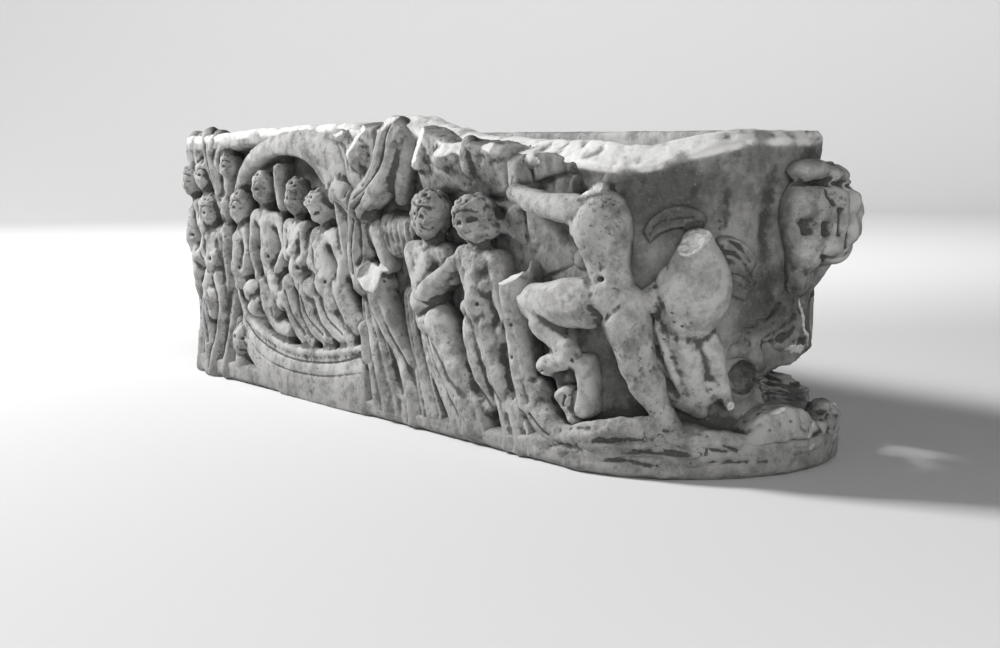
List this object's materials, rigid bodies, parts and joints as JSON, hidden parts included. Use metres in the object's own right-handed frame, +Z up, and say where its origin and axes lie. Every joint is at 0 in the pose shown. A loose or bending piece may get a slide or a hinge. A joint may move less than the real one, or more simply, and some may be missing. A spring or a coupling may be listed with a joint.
{
  "type": "stone sarcophagus",
  "caption": "Hollow marble chest with rounded ends, carved in high relief on its front and ends, plain behind, its rim and one end broken.",
  "frame": {"origin": "middle of the underside, on the surface that the chest rests on", "axes": "+X along the chest towards the end with the broken-through foot, -Y out of the carved front, +Z up"},
  "size_m": [2.2228, 0.6216, 0.6347],
  "materials": {
    "marble": "weathered carved marble, light on worn and broken faces, with dark patina and soil in the hollows"
  },
  "bodies": {
    "root": {"sarcophagus_chest": "marble"}
  },
  "joints": []
}
